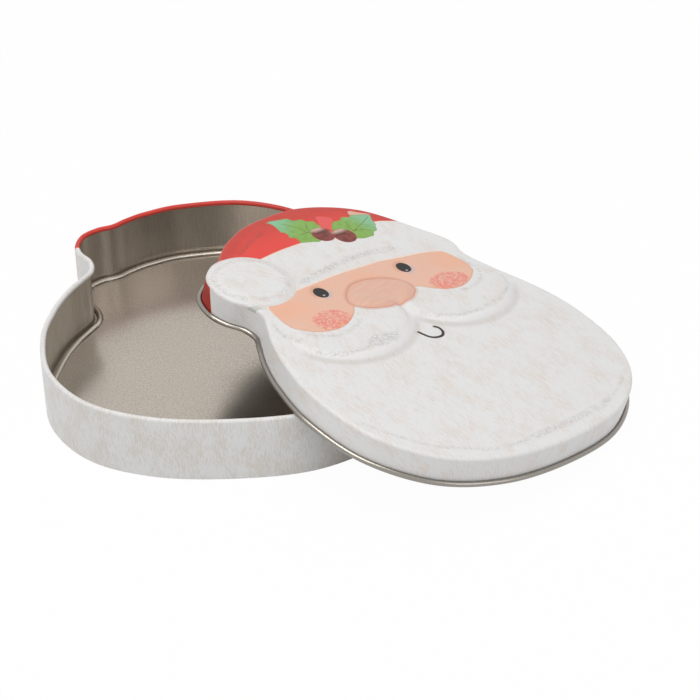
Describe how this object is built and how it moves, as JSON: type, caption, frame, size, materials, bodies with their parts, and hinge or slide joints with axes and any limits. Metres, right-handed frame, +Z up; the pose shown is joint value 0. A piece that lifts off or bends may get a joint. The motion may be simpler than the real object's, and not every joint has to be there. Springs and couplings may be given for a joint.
{
  "type": "decorative tin",
  "caption": "Shallow pressed-tin box shaped as a bearded figure's head, with an embossed slip lid leaning on its open body.",
  "frame": {"origin": "on the floor, under the middle of the bounding box of the body and the leaning lid together", "axes": "+Z up; +X towards the side where the lid leans to the floor; +Y towards the hat end of the body"},
  "size_m": [0.257, 0.2176, 0.0539],
  "materials": {
    "body_print": "satin off-white print on tinplate, bare metal inside",
    "tinplate": "bare satin tinplate",
    "lid_print": "satin printed and embossed tinplate, bare metal inside and on the rolled edge"
  },
  "bodies": {
    "body": {"body_wall": "body_print", "bottom_plate": "tinplate"},
    "lid": {"lid": "lid_print"}
  },
  "joints": [
    {"name": "lid_lift", "type": "slide", "parent": "body", "child": "lid", "axis": [0, 0, 1], "range_m": [0, 0.06]}
  ]
}
